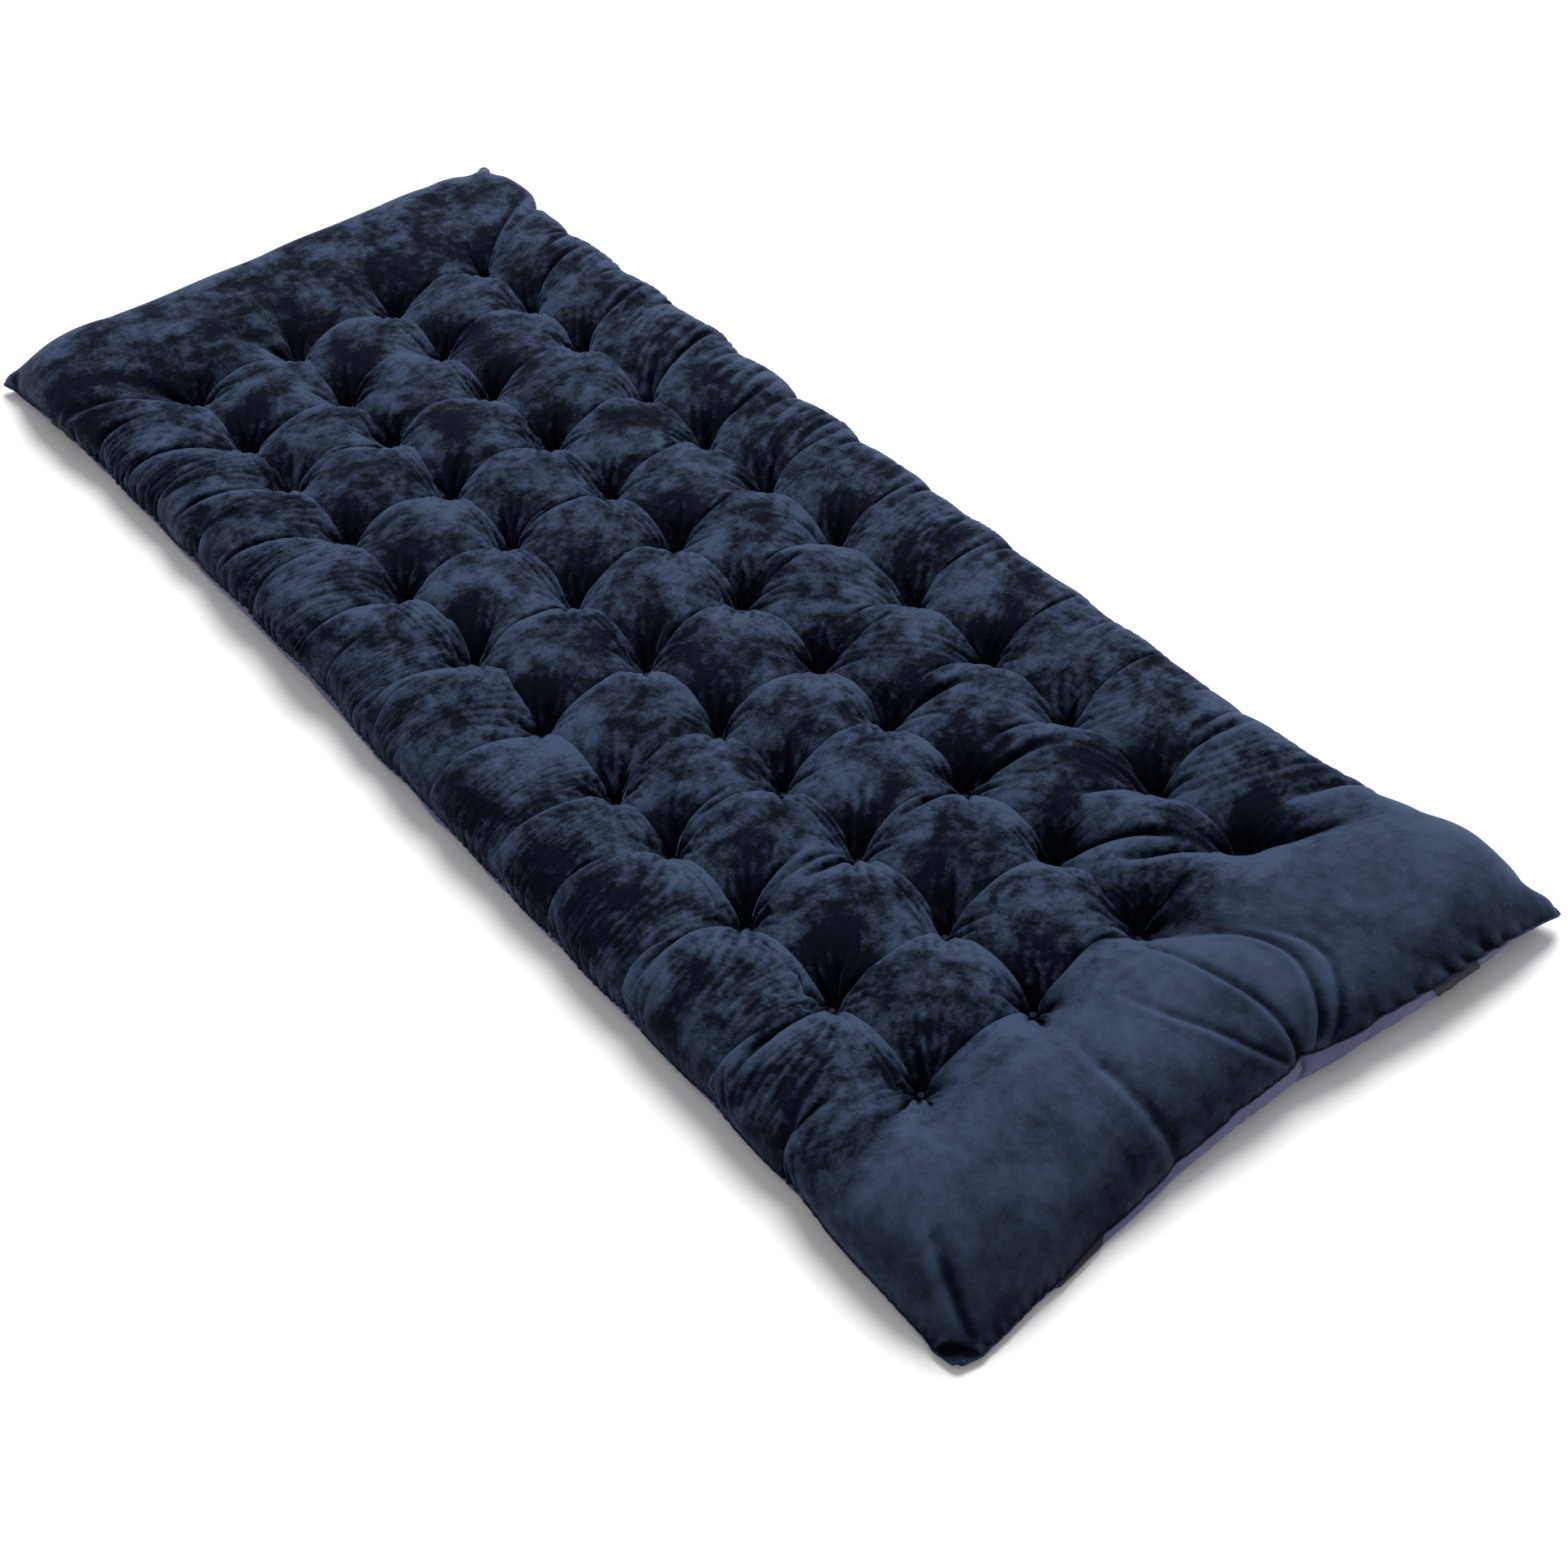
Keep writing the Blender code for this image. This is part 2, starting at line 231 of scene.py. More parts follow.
class Links:
    """A set of pairs of grid points that share no point, with the cloth's length between them."""

    def __init__(self, first, second, rest, free):
        self.first = (slice(None),) + first
        self.second = (slice(None),) + second
        self.rest = rest
        total = np.maximum(free[first] + free[second], 1e-6)
        self.share_first = free[first] / total
        self.share_second = free[second] / total

    def solve(self, points, squeeze):
        """Bring each pair to its length: all of the way when stretched, in part when squeezed."""
        a = points[self.first]
        b = points[self.second]
        step = b - a
        length = np.sqrt((step * step).sum(0)) + TINY
        error = (length - self.rest) / length
        step *= np.where(error > 0, error, error * squeeze)
        a += step * self.share_first
        b -= step * self.share_second


def make_links(free, rest_x, rest_y):
    """Threads both ways and both diagonals, each in two sets that share no point."""
    rows, columns = free.shape
    every = slice(None)
    diagonal_x = (rest_x[:-1] + rest_x[1:]) / 2
    diagonal_y = (rest_y[:, :-1] + rest_y[:, 1:]) / 2
    rest_d = np.sqrt(diagonal_x * diagonal_x + diagonal_y * diagonal_y)
    links = []
    for k in (0, 1):
        low, high = slice(k, columns - 1, 2), slice(k + 1, columns, 2)
        links.append(Links((every, low), (every, high), rest_x[:, k::2], free))
    for k in (0, 1):
        low, high = slice(k, rows - 1, 2), slice(k + 1, rows, 2)
        links.append(Links((low, every), (high, every), rest_y[k::2], free))
    for k in (0, 1):
        low, high = slice(k, rows - 1, 2), slice(k + 1, rows, 2)
        first, last = slice(0, columns - 1), slice(1, columns)
        links.append(Links((low, first), (high, last), rest_d[k::2], free))
        links.append(Links((low, last), (high, first), rest_d[k::2], free))
    return links


def pull_threads(points, links, squeeze):
    for _ in range(PASSES):
        for link in links:
            link.solve(points, squeeze)


def capped(speed):
    """The same motion, with no point faster than the limit."""
    return speed * np.minimum(1, SPEED_LIMIT / np.maximum(np.abs(speed).max(0), TINY))


def with_slack(step_x, step_y, ease_x, ease_y):
    """The cloth's own length between neighbours: the distances, and the slack both ways."""
    rest_x = step_x * (1 + (ease_x[:, 1:] + ease_x[:, :-1]) / 2)
    rest_y = step_y * (1 + (ease_y[1:] + ease_y[:-1]) / 2)
    return rest_x.astype(np.float32), rest_y.astype(np.float32)


def middles(values):
    """Points halfway between neighbours along the last axis, on a smooth curve."""
    out = (values[..., 1:] + values[..., :-1]) / 2
    near = values[..., 2:-1] + values[..., 1:-2]
    far = values[..., 3:] + values[..., :-3]
    out[..., 1:-1] = (9 * near - far) / 16
    return out


def refine(points):
    """The same grid with a point added between every two."""
    layers, rows, columns = points.shape
    out = np.empty((layers, 2 * rows - 1, 2 * columns - 1), points.dtype)
    out[:, ::2, ::2] = points
    out[:, ::2, 1::2] = middles(points)
    turned = np.swapaxes(out[:, ::2, :], 1, 2)
    out[:, 1::2, :] = np.swapaxes(middles(turned), 1, 2)
    return out


def waves(x, y, size, seed):
    """A smooth random field of about unit height, with lumps of the given size."""
    rng = np.random.default_rng(seed)
    out = np.zeros_like(x)
    for _ in range(WAVE_COUNT):
        angle = rng.uniform(0, 2 * np.pi)
        pace = 2 * np.pi / (size * rng.uniform(0.6, 1.6))
        out += np.sin(pace * (x * np.cos(angle) + y * np.sin(angle)) + rng.uniform(0, 2 * np.pi))
    return out / math.sqrt(WAVE_COUNT / 2)


class Plan:
    """The cloth's grid at one fineness: plan places, distances from the edges, corners and seam."""

    def __init__(self, columns, rows):
        s, t = np.meshgrid(np.linspace(0, 1, columns), np.linspace(0, 1, rows))
        self.x, self.y = seam_plan(s, t)
        self.from_left, self.from_right = s * WIDTH, (1 - s) * WIDTH
        self.from_foot, self.from_head = t * LENGTH, (1 - t) * LENGTH
        self.from_side = np.minimum(self.from_left, self.from_right)
        self.from_end = np.minimum(self.from_foot, self.from_head)
        self.from_edge = np.minimum(self.from_side, self.from_end)
        self.from_corner = np.hypot(self.from_side, self.from_end)
        self.border = self.from_edge < TINY
        self.corner_fill = np.ones_like(s)
        for (right, head), far in CORNER_FILL.items():
            away = np.hypot(self.from_right if right else self.from_left,
                            self.from_head if head else self.from_foot)
            self.corner_fill *= eased(away, far / CORNER_EMPTY, far)
        # A distance from the edge that grows without a crease along the corners' diagonals.
        product = self.from_side * self.from_end
        self.reach = product / np.maximum(self.from_side + self.from_end, TINY)
        self.seam = seam_height(self.x, self.y, s, t)
        self.pitch = WIDTH / (columns - 1)

    def rests(self, ease_x, ease_y):
        """The cloth's own length between neighbours, from its slack both ways in the plan."""
        step_x = np.hypot(np.diff(self.x, axis=1), np.diff(self.y, axis=1))
        step_y = np.hypot(np.diff(self.x, axis=0), np.diff(self.y, axis=0))
        return with_slack(step_x, step_y, ease_x, ease_y)

    def grain(self, rng):
        """Small random heights, which start the wrinkles."""
        return rng.standard_normal(self.x.shape).astype(np.float32)


def pinned(plan, ties, height):
    """Which points the ties hold, and where they hold them. A coarse grid still gets a point each."""
    held = np.zeros(plan.x.shape, bool)
    place = np.zeros((3,) + plan.x.shape, np.float32)
    reach = max(TIE_REACH, plan.pitch * 0.75)
    for x, y in ties:
        distance = np.hypot(plan.x - x, plan.y - y)
        near = distance < reach
        held |= near
        place[0][near] = x + (plan.x[near] - x) * TIE_GATHER
        place[1][near] = y + (plan.y[near] - y) * TIE_GATHER
        place[2][near] = height
    return held, place


# The velvet's solver, from a coarse grid to a fine one: rounds, pressure, and how much the cloth
# resists squeezing and bending. hold is how firmly the seam keeps its place.
TOP = dict(
    start=(76, 184), rounds=(300, 200, 140), push=(0.0016, 0.0008, 0.0001), squeeze=(0.4, 0.7, 0.9),
    bend=(0.01, 0.004, 0.0018), noise=0.0010, hold=0.2)
TOP_LEVELS = len(TOP["rounds"])
NOISE_PITCH = 0.007
# The velvet's slack: more cloth than its outline, by share, across (X) and along (Y).
TOP_EASE_X = 0.14
TOP_EASE_Y = 0.14
TOP_EASE_SIDE = 0.32
TOP_EASE_END_X = 0.06
TOP_EASE_LEFT_Y = 0.16
TOP_EASE_RIGHT_Y = 0.11
TOP_CORNER_EASE = 0.06
TOP_VARY = 0.02
VARY_SIZE = 0.09
# Where that slack changes: distances from a side, an end and a corner.
SIDE_BAND = (0.10, 0.16)
END_BAND = (0.15, 0.23)
CORNER_BAND = (0.03, 0.12)
# Pleats: the slack that makes them round the ties and along the sides, and how far they reach.
PLEAT_EASE = 0.30
PLEAT_REACH = 0.055
PLEAT_LEFT = 0.08
PLEAT_RIGHT = 0.035
PLEAT_FOLLOW = 0.03
RAYS = 11
RAY_HEIGHT = 0.0008
RAY_TURN = 2.399
# Nested folds beside the lines of ties.
NEST_EASE = 0.16
NEST_PITCH = 0.0085
NEST_HEIGHT = 0.0007
NEST_MIDDLE = 0.012
# The wadding under the velvet: its crown, how it rises from a tie and from the seam, and its lumps.
FILL_CROWN = 0.080
FILL_SPREAD = 0.070
FILL_EDGE = 0.07
FILL_LUMPS = 0.0015
FILL_LIFT = 0.1
CORNER_SINK = 0.5
# Heights: of the slack sheet at the start, where the pressure ends, and the velvet's limits.
CROWN = 0.080
SETTLED = 0.0845
ROOF = 0.0825
TOP_FLOOR = 0.0015
# The ties: the pit's height, how much cloth a tie holds and gathers, the share of the pressure in
# the pit, and how far from the tie it is full.
PIT_TOP = 0.028
TIE_REACH = 0.0075
TIE_GATHER = 0.5
PIT_PRESSURE = 0.1
PIT_OPENING = 0.040
# The plain borders at the foot and the head are smoothed after the solve.
CALM_ROUNDS = 90
CALM_SHARE = 0.22
HEAD_CALM = 0.35


def nearest_tie(plan, ties):
    """The distance to the nearest tie, the direction from it, and its number."""
    distance = np.full_like(plan.x, FAR)
    angle = np.zeros_like(plan.x)
    number = np.zeros_like(plan.x)
    for k, (x, y) in enumerate(ties):
        away = np.hypot(plan.x - x, plan.y - y)
        near = away < distance
        distance[near] = away[near]
        angle[near] = np.arctan2(plan.y[near] - y, plan.x[near] - x)
        number[near] = k
    return distance, angle, number


def filling_height(plan, from_tie):
    """How low the wadding lets the velvet sink."""
    tied = PIT_TOP + (FILL_CROWN - PIT_TOP) * (1 - np.exp(-(from_tie / FILL_SPREAD) ** 1.5))
    edge = np.clip(plan.reach / FILL_EDGE, 0, 1) ** 0.6 * plan.corner_fill ** CORNER_SINK
    sewn = plan.seam + (FILL_CROWN - plan.seam) * edge
    lumps = waves(plan.x, plan.y, 0.05, 13) * FILL_LUMPS * eased(from_tie, 0.02, 0.05)
    return (np.minimum(tied, sewn) + lumps).astype(np.float32)


def nested_band(plan, ties):
    """Where folds lie nested along the left side of each line of ties, and the distance from it."""
    offset = np.full_like(plan.x, FAR)
    for column in range(COLUMNS):
        line = ties[column::COLUMNS]
        line = line[np.argsort(line[:, 1])]
        away = plan.x - np.interp(plan.y, line[:, 1], line[:, 0])
        near = np.abs(away + NEST_MIDDLE) < np.abs(offset + NEST_MIDDLE)
        offset[near] = away[near]
    band = eased(offset, -0.036, -0.024) * (1 - eased(offset, -0.004, 0.004))
    inside = eased(plan.from_foot, 0.20, 0.25) * eased(plan.from_head, 0.22, 0.28)
    patch = np.clip(0.65 + 0.6 * waves(plan.x, plan.y, 0.14, 17), 0, 1.4)
    return band * inside * patch, offset


def radiating_seed(from_tie, angle, number):
    """Small ridges round each tie, which the slack turns into pleats."""
    phase = number * RAY_TURN % (2 * np.pi)
    seed = np.cos(RAYS * angle + phase) + 0.6 * np.cos((RAYS - 3) * angle - 1.7 * phase)
    reach = eased(from_tie, 0.004, 0.012) * (1 - eased(from_tie, 0.02, 0.05))
    return (seed * reach * RAY_HEIGHT).astype(np.float32)


# Pulled folds of the foot border: start, middle and end in the plan, depth and half width. Each is a
# curve of so many short steps, from a shallow start to its full depth.
CREASE_STEPS = 24
CREASE_START = 0.3
CREASES = (
    ((0.010, -0.745), (0.048, -0.850), (0.046, -0.930), 0.0050, 0.0050),
    ((-0.040, -0.790), (-0.012, -0.885), (0.044, -0.928), 0.0035, 0.0045),
    ((0.050, -0.765), (0.150, -0.840), (0.052, -0.930), 0.0050, 0.0055),
    ((0.098, -0.800), (0.165, -0.880), (0.064, -0.932), 0.0030, 0.0060),
    ((-0.105, -0.785), (-0.112, -0.860), (-0.107, -0.928), 0.0030, 0.0070),
    ((-0.312, -0.862), (-0.330, -0.905), (-0.352, -0.948), 0.0050, 0.0060),
)


def beside_curve(plan, start, middle, end):
    """The distance from a curve, with a sign for the side, and how far along it the nearest place is."""
    steps = np.linspace(0, 1, CREASE_STEPS)[:, None]
    start, middle, end = np.array(start), np.array(middle), np.array(end)
    line = (1 - steps) ** 2 * start + 2 * steps * (1 - steps) * middle + steps ** 2 * end
    distance = np.full_like(plan.x, FAR)
    side = np.zeros_like(plan.x)
    share = np.zeros_like(plan.x)
    for k in range(len(line) - 1):
        ahead = line[k + 1] - line[k]
        from_x, from_y = plan.x - line[k, 0], plan.y - line[k, 1]
        step = np.clip((from_x * ahead[0] + from_y * ahead[1]) / (ahead @ ahead), 0, 1)
        away = np.hypot(from_x - step * ahead[0], from_y - step * ahead[1])
        near = away < distance
        distance[near] = away[near]
        side[near] = np.sign(ahead[0] * from_y - ahead[1] * from_x)[near]
        share[near] = (k + step[near]) / (len(line) - 1)
    return distance * side, share


def press_creases(plan, points):
    """Fold the shape along the creases: a valley with a ridge beside it."""
    normal = grid_normals(points)
    depth_all = np.zeros_like(plan.x)
    for start, middle, end, depth, width in CREASES:
        signed, share = beside_curve(plan, start, middle, end)
        fade = eased(share, 0.0, 0.35) * (1 - CREASE_START) + CREASE_START
        valley = -depth * np.exp(-((signed - width * 0.5) / width) ** 2)
        ridge = 0.6 * depth * np.exp(-((signed + width * 0.9) / width) ** 2)
        depth_all += (valley + ridge) * fade
    depth_all *= eased(plan.from_edge, 0.0, 0.012) * eased(points[2], 0.008, 0.034)
    points += (normal * depth_all).astype(np.float32)


def smooth_ends(plan, points, from_tie):
    """Take the small wrinkles out of the plain velvet beyond the last ties."""
    foot = 1 - eased(plan.from_foot, 0.165, 0.215)
    head = 1 - eased(plan.from_head, 0.18, 0.24)
    calm = np.maximum(foot, head * HEAD_CALM)
    calm = calm * eased(from_tie, 0.018, 0.055)
    calm = calm * eased(plan.from_side, 0.012, 0.050) * eased(plan.from_end, 0.004, 0.020)
    share = (CALM_SHARE * calm).astype(np.float32)
    for _ in range(CALM_ROUNDS):
        points += laplace(points) * share


def top_ease(plan):
    """The velvet's slack across and along, at every point, before it is pleated."""
    side = 1 - eased(plan.from_side, *SIDE_BAND)
    end = 1 - eased(plan.from_end, *END_BAND)
    left = 1 - eased(plan.from_left, *SIDE_BAND)
    right = 1 - eased(plan.from_right, *SIDE_BAND)
    corner = 1 - eased(plan.from_corner, *CORNER_BAND)
    across = TOP_EASE_X + (TOP_EASE_SIDE - TOP_EASE_X) * side
    across += (TOP_EASE_END_X - TOP_EASE_X) * end * (1 - side)
    across += waves(plan.x, plan.y, VARY_SIZE, 11) * TOP_VARY
    ahead = TOP_EASE_Y + (TOP_EASE_LEFT_Y - TOP_EASE_Y) * left * (1 - end)
    ahead += (TOP_EASE_RIGHT_Y - TOP_EASE_Y) * right * (1 - end)
    ahead += waves(plan.x, plan.y, VARY_SIZE, 12) * TOP_VARY
    across += (TOP_CORNER_EASE - across) * corner
    ahead += (TOP_CORNER_EASE - ahead) * corner
    return across, ahead


def pleated_rests(plan, shape, from_tie, angle, nested):
    """The cloth's own length in its full shape, plus the slack that forms the pleats."""
    near = PLEAT_EASE * (1 - eased(from_tie, PLEAT_REACH * 0.3, PLEAT_REACH))
    left = (1 - eased(plan.from_left, 0.11, 0.15)) * eased(plan.from_foot, 0.16, 0.26)
    left *= eased(plan.from_head, 0.06, 0.14)
    right = (1 - eased(plan.from_right, 0.09, 0.14)) * eased(plan.from_end, 0.16, 0.24)
    patch = np.clip(0.6 + 0.7 * waves(plan.x, plan.y, 0.16, 14), 0, 1.5)
    across = near * np.sin(angle) ** 2 + NEST_EASE * nested
    ahead = near * np.cos(angle) ** 2 + (PLEAT_LEFT * left + PLEAT_RIGHT * right) * patch
    calm = eased(plan.from_corner, *CORNER_BAND)
    step_x = np.linalg.norm(np.diff(shape, axis=2), axis=0)
    step_y = np.linalg.norm(np.diff(shape, axis=1), axis=0)
    return with_slack(step_x, step_y, across * calm, ahead * calm)


def solve_top(ties):
    """The velvet top: inflated by the wadding, held at the ties and at the sewn edge."""
    rng = np.random.default_rng(5)
    columns, rows = TOP["start"]
    points = None
    for level in range(TOP_LEVELS):
        plan = Plan(columns, rows)
        last = level == TOP_LEVELS - 1
        from_tie, angle, number = nearest_tie(plan, ties)
        held, place = pinned(plan, ties, PIT_TOP)
        free = np.where(held, 0, 1).astype(np.float32)
        seam = np.stack([plan.x, plan.y, plan.seam]).astype(np.float32)
        if points is None:
            profile = eased(plan.reach, 0, 0.05)
            points = seam.copy()
            points[2] += (CROWN - points[2]) * profile
        else:
            points = refine(points)
            noise = smoothed(plan.grain(rng), 3)
            shape = points.copy()
            seed = radiating_seed(from_tie, angle, number)
            nested, offset = nested_band(plan, ties)
            if last:
                seed += NEST_HEIGHT * nested * np.cos(2 * np.pi * offset / NEST_PITCH)
            points += grid_normals(points) * (noise * (TOP["noise"] * plan.pitch / NOISE_PITCH) + seed)
        if last:
            rest_x, rest_y = pleated_rests(plan, shape, from_tie, angle, nested)
        else:
            rest_x, rest_y = plan.rests(*top_ease(plan))
        points[:, held] = place[:, held]
        speed = np.zeros_like(points)
        links = make_links(free, rest_x, rest_y)
        lowest = filling_height(plan, from_tie)
        follow = (PLEAT_FOLLOW * free) if last else 0
        fill = eased(plan.reach, 0.0, 0.022) * plan.corner_fill * free
        fill *= PIT_PRESSURE + (1 - PIT_PRESSURE) * eased(from_tie, 0.006, PIT_OPENING)
        push = (fill * TOP["push"][level]).astype(np.float32)
        for _ in range(TOP["rounds"][level]):
            before = points.copy()
            press = np.clip((SETTLED - points[2]) / SETTLED, -0.5, 1) * push
            points += speed * KEEP_SPEED + grid_normals(points) * press
            if last:
                points += (shape - points) * follow
            pull_threads(points, links, TOP["squeeze"][level])
            points -= laplace(laplace(points)) * (TOP["bend"][level] * free)
            points[2] += np.maximum(lowest - points[2], 0) * (FILL_LIFT * free)
            points[:, plan.border] += (seam - points)[:, plan.border] * TOP["hold"]
            np.maximum(points[2], TOP_FLOOR, out=points[2])
            points[2] -= np.maximum(points[2] - ROOF, 0) * 0.5
            points[:, held] = place[:, held]
            speed = capped(points - before)
        columns, rows = 2 * columns - 1, 2 * rows - 1
    smooth_ends(plan, points, from_tie)
    press_creases(plan, points)
    return points, plan, (rest_x, rest_y)


# The underside: its solver, its slack, and the seam's height that takes all of the side's slack.
UNDER = dict(start=(76, 184), rounds=(200, 120), push=(0.0010, 0.0005),
             squeeze=(0.4, 0.7), bend=(0.01, 0.006), noise=0.0006)
UNDER_LEVELS = len(UNDER["rounds"])
UNDER_EASE = 0.012
UNDER_EASE_SIDE = 0.09
UNDER_DROP = 0.032
# What it rests on, with room for the straps under it, and its height at a tie.
GROUND_GAP = 0.0006
STRAP_ROOM = 0.0020
PIT_BOTTOM = 0.008
# The elastic straps: how far from its corner each crosses, measured along the edge, and its section.
STRAP_OFFSET = 0.152
STRAP_WIDTH = 0.040
STRAP_THICK = 0.0015


def strap_band(plan):
    """1 where a corner strap passes under the cloth, and 0 away from it."""
    reach = np.abs(plan.from_side + plan.from_end - STRAP_OFFSET) / math.sqrt(2)
    return 1 - eased(reach, STRAP_WIDTH / 2, STRAP_WIDTH / 2 + 0.012)


def solve_under(ties, top):
    """The underside: pressed onto the ground, held at the ties and at the velvet's sewn edge."""
    rng = np.random.default_rng(6)
    columns, rows = UNDER["start"]
    step = 2 ** (TOP_LEVELS - 1)
    points = None
    for level in range(UNDER_LEVELS):
        plan = Plan(columns, rows)
        ease = UNDER_EASE_SIDE * (1 - eased(plan.from_edge, 0.05, 0.09))
        ease = UNDER_EASE + ease * np.clip(plan.seam / UNDER_DROP, 0, 1.2) ** 2
        rest_x, rest_y = plan.rests(ease, ease)
        held, place = pinned(plan, ties, PIT_BOTTOM)
        edge = top[:, ::step, ::step]
        place[:, plan.border] = edge[:, plan.border]
        held = held | plan.border
        free = np.where(held, 0, 1).astype(np.float32)
        ground = (GROUND_GAP + STRAP_ROOM * strap_band(plan)).astype(np.float32)
        if points is None:
            points = np.stack([plan.x, plan.y, plan.seam]).astype(np.float32)
            points[2] += (GROUND_GAP - points[2]) * eased(plan.from_edge, 0, 0.05)
        else:
            points = refine(points)
            noise = plan.grain(rng)
            points += grid_normals(points) * noise * (UNDER["noise"] * plan.pitch / NOISE_PITCH)
        points[:, held] = place[:, held]
        speed = np.zeros_like(points)
        links = make_links(free, rest_x, rest_y)
        push = (free * UNDER["push"][level]).astype(np.float32)
        for _ in range(UNDER["rounds"][level]):
            before = points.copy()
            points += speed * KEEP_SPEED - grid_normals(points) * push
            pull_threads(points, links, UNDER["squeeze"][level])
            points -= laplace(laplace(points)) * (UNDER["bend"][level] * free)
            np.maximum(points[2], ground, out=points[2])
            points[:, held] = place[:, held]
            speed = capped(points - before)
        columns, rows = 2 * columns - 1, 2 * rows - 1
        step //= 2
    return points, (rest_x, rest_y)


# ---------------------------------------------------------------- meshes
def add_object(name, mesh):
    obj = bpy.data.objects.new(name, mesh)
    bpy.context.scene.collection.objects.link(obj)
    return obj


def face_mesh(name, points, faces):
    """A smooth mesh of points and faces of four corners."""
    mesh = bpy.data.meshes.new(name)
    mesh.from_pydata(points.tolist(), [], faces.tolist())
    mesh.polygons.foreach_set("use_smooth", np.ones(len(faces), bool))
    mesh.update()
    return mesh


def closed_shell(upper, lower):
    """The points and faces of a closed body between two grids of the same size."""
    _, rows, columns = upper.shape
    count = rows * columns
    points = np.concatenate([upper.reshape(3, -1).T, lower.reshape(3, -1).T])
    index = np.arange(count).reshape(rows, columns)
    quads = np.stack([index[:-1, :-1], index[:-1, 1:], index[1:, 1:], index[1:, :-1]], -1)
    quads = quads.reshape(-1, 4)
    rim = np.concatenate([index[0, :-1], index[:-1, -1], index[-1, :0:-1], index[:0:-1, 0]])
    after = np.roll(rim, -1)
    wall = np.stack([rim + count, after + count, after, rim], -1)
    return points, np.concatenate([quads, quads[:, ::-1] + count, wall])


def bend_at_fold(piece):
    """The piece crosses the fold; its transform is baked into its mesh, and it is not bent."""
    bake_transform(piece)


def grid_mesh(name, points, rests, turn=False):
    """A smooth mesh of a grid of points, with the cloth's own metres as its UV map."""
    _, rows, columns = points.shape
    index = np.arange(rows * columns).reshape(rows, columns)
    corners = [index[:-1, :-1], index[:-1, 1:], index[1:, 1:], index[1:, :-1]]
    if turn:
        corners.reverse()
    faces = np.stack(corners, -1).reshape(-1, 4)
    mesh = bpy.data.meshes.new(name)
    mesh.vertices.add(rows * columns)
    mesh.vertices.foreach_set("co", points.reshape(3, -1).T.astype(np.float32).ravel())
    mesh.loops.add(faces.size)
    mesh.loops.foreach_set("vertex_index", faces.ravel().astype(np.int32))
    mesh.polygons.add(len(faces))
    mesh.polygons.foreach_set("loop_start", np.arange(0, faces.size, 4, dtype=np.int32))
    mesh.update(calc_edges=True)
    mesh.polygons.foreach_set("use_smooth", np.ones(len(faces), bool))
    u = np.zeros((rows, columns))
    v = np.zeros((rows, columns))
    u[:, 1:] = np.cumsum(rests[0].mean(axis=0))
    v[1:] = np.cumsum(rests[1].mean(axis=1))[:, None]
    u -= u[0, columns // 2]
    v -= v[rows // 2, 0]
    uv = np.stack([u.ravel(), v.ravel()], -1)[faces.ravel()]
    layer = mesh.uv_layers.new(name="cloth_metres")
    layer.data.foreach_set("uv", uv.astype(np.float32).ravel())
    mesh.validate()
    return mesh


# The velvet's relief at two sizes: rounds of smoothing that take it out, and the height that counts as 1.
# The material paints highlights on crests and shade in valleys from it.
RELIEF = (("relief_fine", 4, 0.0006), ("relief_broad", 60, 0.0040))
# The direction of the painted light: a slope that faces this way, towards the back where the key light
# is, is painted lighter, and one facing the front darker.
PAINTED_LIGHT_DIRECTION = (0.9, 1.3, 0.0)
PAINTED_LIGHT_ROUNDS = 20


def store_values(mesh, name, values):
    layer = mesh.attributes.new(name, "FLOAT", "POINT")
    layer.data.foreach_set("value", values.astype(np.float32).ravel())


def store_places(mesh):
    """Keep each point's place at rest as an attribute, for the material's pattern."""
    points = np.empty(3 * len(mesh.vertices), np.float32)
    mesh.vertices.foreach_get("co", points)
    layer = mesh.attributes.new("rest_place", "FLOAT_VECTOR", "POINT")
    layer.data.foreach_set("vector", points)


def add_relief(mesh, points):
    """How much each point is a crest (up to 1) or a valley (down to -1), at two sizes."""
    normal = grid_normals(points)
    for name, rounds, full in RELIEF:
        height = ((points - smoothed(points, rounds)) * normal).sum(0) / full
        store_values(mesh, name, np.clip(height, -1, 1))


def add_zones(mesh, plan, ties, points):
    """calm: 1 on the smooth foot border. pit: 1 in a tie's pit, where its painted shade goes. The painted
    key light: how far the smoothed surface faces the back light.
    """
    from_tie, _, _ = nearest_tie(plan, ties)
    # Painted light and shade: how far the smoothed surface faces the back light, which the material turns
    # into lighter or darker colour.
    key_facing = (grid_normals(smoothed(points, PAINTED_LIGHT_ROUNDS)) * np.array(PAINTED_LIGHT_DIRECTION)[:, None, None]).sum(0)
    store_values(mesh, "calm", 1 - eased(plan.from_foot, 0.12, 0.23))
    # The pit mask places the painted shade in each tie's pit.
    store_values(mesh, "pit", 1 - eased(from_tie, 0.005, 0.024))
    store_values(mesh, "painted_key_light", np.clip(key_facing, -1, 1))


# ---------------------------------------------------------------- materials
# The pit colour is painted shade in the tie pits.
PAINTED_PIT_SHADE = (0.0010, 0.0013, 0.0026)
# The dark, mid and light tones serve the crushed pattern, and also the painted shade in valleys and the
# painted highlights on crests and on slopes that face the back light.
VELVET_DARK = (0.0021, 0.0031, 0.0066)
VELVET_MID = (0.0056, 0.0078, 0.0152)
VELVET_LIGHT = (0.0340, 0.0500, 0.0900)
VELVET_SHEEN = (0.28, 0.41, 0.74)
